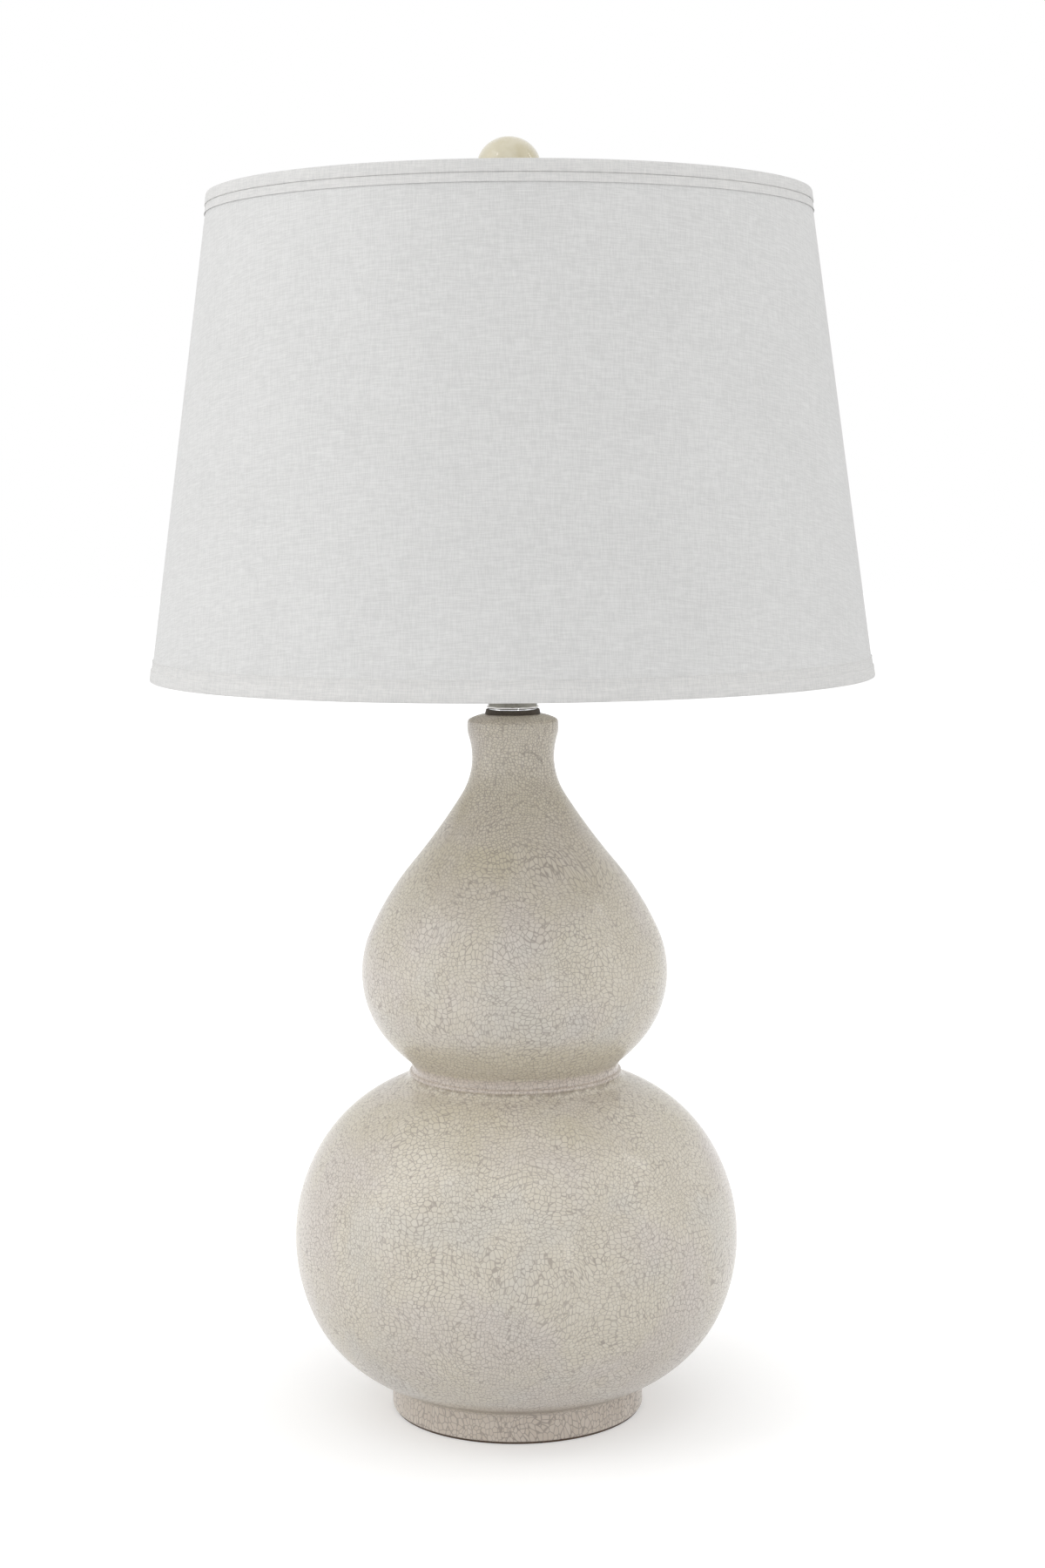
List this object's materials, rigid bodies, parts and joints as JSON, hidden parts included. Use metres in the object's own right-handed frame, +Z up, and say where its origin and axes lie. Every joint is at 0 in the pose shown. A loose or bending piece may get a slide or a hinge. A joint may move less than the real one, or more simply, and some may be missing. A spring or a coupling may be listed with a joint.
{
  "type": "table lamp",
  "caption": "Table lamp with a double gourd ceramic body in crackled glaze, chrome neck cap, socket, bulb and harp, and a round tapered linen shade held by a ball finial.",
  "frame": {"origin": "centre of the foot's resting plane, at the underside of the felt", "axes": "+Z up along the lamp's axis, front and switch towards -Y, cord outlet towards +Y, harp in the XZ plane"},
  "size_m": [0.4007, 0.4008, 0.711],
  "materials": {
    "crackle_glaze": "clear gloss over a crackled cream glaze",
    "finial_glaze": "clear gloss over a cream glaze",
    "shade_linen": "plain woven, slubbed",
    "shade_lining": "white styrene backing",
    "shade_trim": "folded self trim",
    "white_wire": "white powder coat",
    "felt": "pressed felt",
    "chrome": "polished",
    "zinc_steel": "bright zinc plate",
    "nickel_steel": "satin nickel plate",
    "socket_metal": "polished nickel",
    "thread_brass": "drawn",
    "screw_brass": "turned",
    "contact_brass": "sprung strip",
    "fibre_liner": "pressed fibre",
    "moulded_core": "moulded phenolic",
    "switch_plastic": "moulded",
    "gasket_rubber": "matt",
    "bushing_plastic": "moulded",
    "bulb_glass": "soft white coat inside",
    "bulb_cap_metal": "rolled thread",
    "bulb_black_glass": "vitrite insulator",
    "solder": "dull"
  },
  "bodies": {
    "base": {"gourd_body": "crackle_glaze", "foot_felt": "felt", "cord_bushing": "bushing_plastic", "base_washer": "zinc_steel", "lock_washer": "zinc_steel", "base_nut": "zinc_steel", "lamp_pipe": "zinc_steel", "neck_gasket": "gasket_rubber", "vase_cap": "chrome", "harp_saddle": "nickel_steel", "socket_cap": "socket_metal", "cap_set_screw": "zinc_steel", "socket_shell": "socket_metal", "socket_liner": "fibre_liner", "socket_body": "moulded_core", "screw_shell": "thread_brass", "centre_contact": "contact_brass", "terminal_screws": "screw_brass"},
    "switch": {"switch_stem": "screw_brass", "switch_knob": "switch_plastic"},
    "light_bulb": {"bulb_contact": "solder", "bulb_insulator": "bulb_black_glass", "bulb_cap": "bulb_cap_metal", "bulb_glass": "bulb_glass"},
    "harp": {"harp_loop": "nickel_steel"},
    "left_ferrule": {"ferrule_left": "nickel_steel"},
    "right_ferrule": {"ferrule_right": "nickel_steel"},
    "swivel": {"harp_stud": "nickel_steel"},
    "shade": {"spider_hub": "white_wire", "spider_arm_1": "white_wire", "spider_arm_2": "white_wire", "spider_arm_3": "white_wire", "top_ring": "white_wire", "bottom_ring": "white_wire", "shade_cover": "shade_linen", "shade_liner": "shade_lining", "top_trim": "shade_trim", "bottom_trim": "shade_trim"},
    "finial": {"finial_base": "nickel_steel", "finial_knob": "finial_glaze"}
  },
  "joints": [
    {"name": "switch_turn", "type": "hinge", "parent": "base", "child": "switch", "pos_m": [0, -0.02, 0.4388], "axis": [0, -1, 0], "continuous": true},
    {"name": "bulb_lift", "type": "slide", "parent": "base", "child": "light_bulb", "axis": [0, 0, 1], "range_m": [0, 0.03]},
    {"name": "harp_lift", "type": "slide", "parent": "base", "child": "harp", "axis": [0, 0, 1], "range_m": [0, 0.025]},
    {"name": "left_ferrule_slide", "type": "slide", "parent": "harp", "child": "left_ferrule", "axis": [0, 0, 1], "range_m": [0, 0.012]},
    {"name": "right_ferrule_slide", "type": "slide", "parent": "harp", "child": "right_ferrule", "axis": [0, 0, 1], "range_m": [0, 0.012]},
    {"name": "swivel_turn", "type": "hinge", "parent": "harp", "child": "swivel", "pos_m": [0, 0, 0.657], "axis": [0, 0, 1], "continuous": true},
    {"name": "shade_lift", "type": "slide", "parent": "swivel", "child": "shade", "axis": [0, 0, 1], "range_m": [0, 0.26]},
    {"name": "finial_lift", "type": "slide", "parent": "shade", "child": "finial", "axis": [0, 0, 1], "range_m": [0, 0.015]}
  ]
}
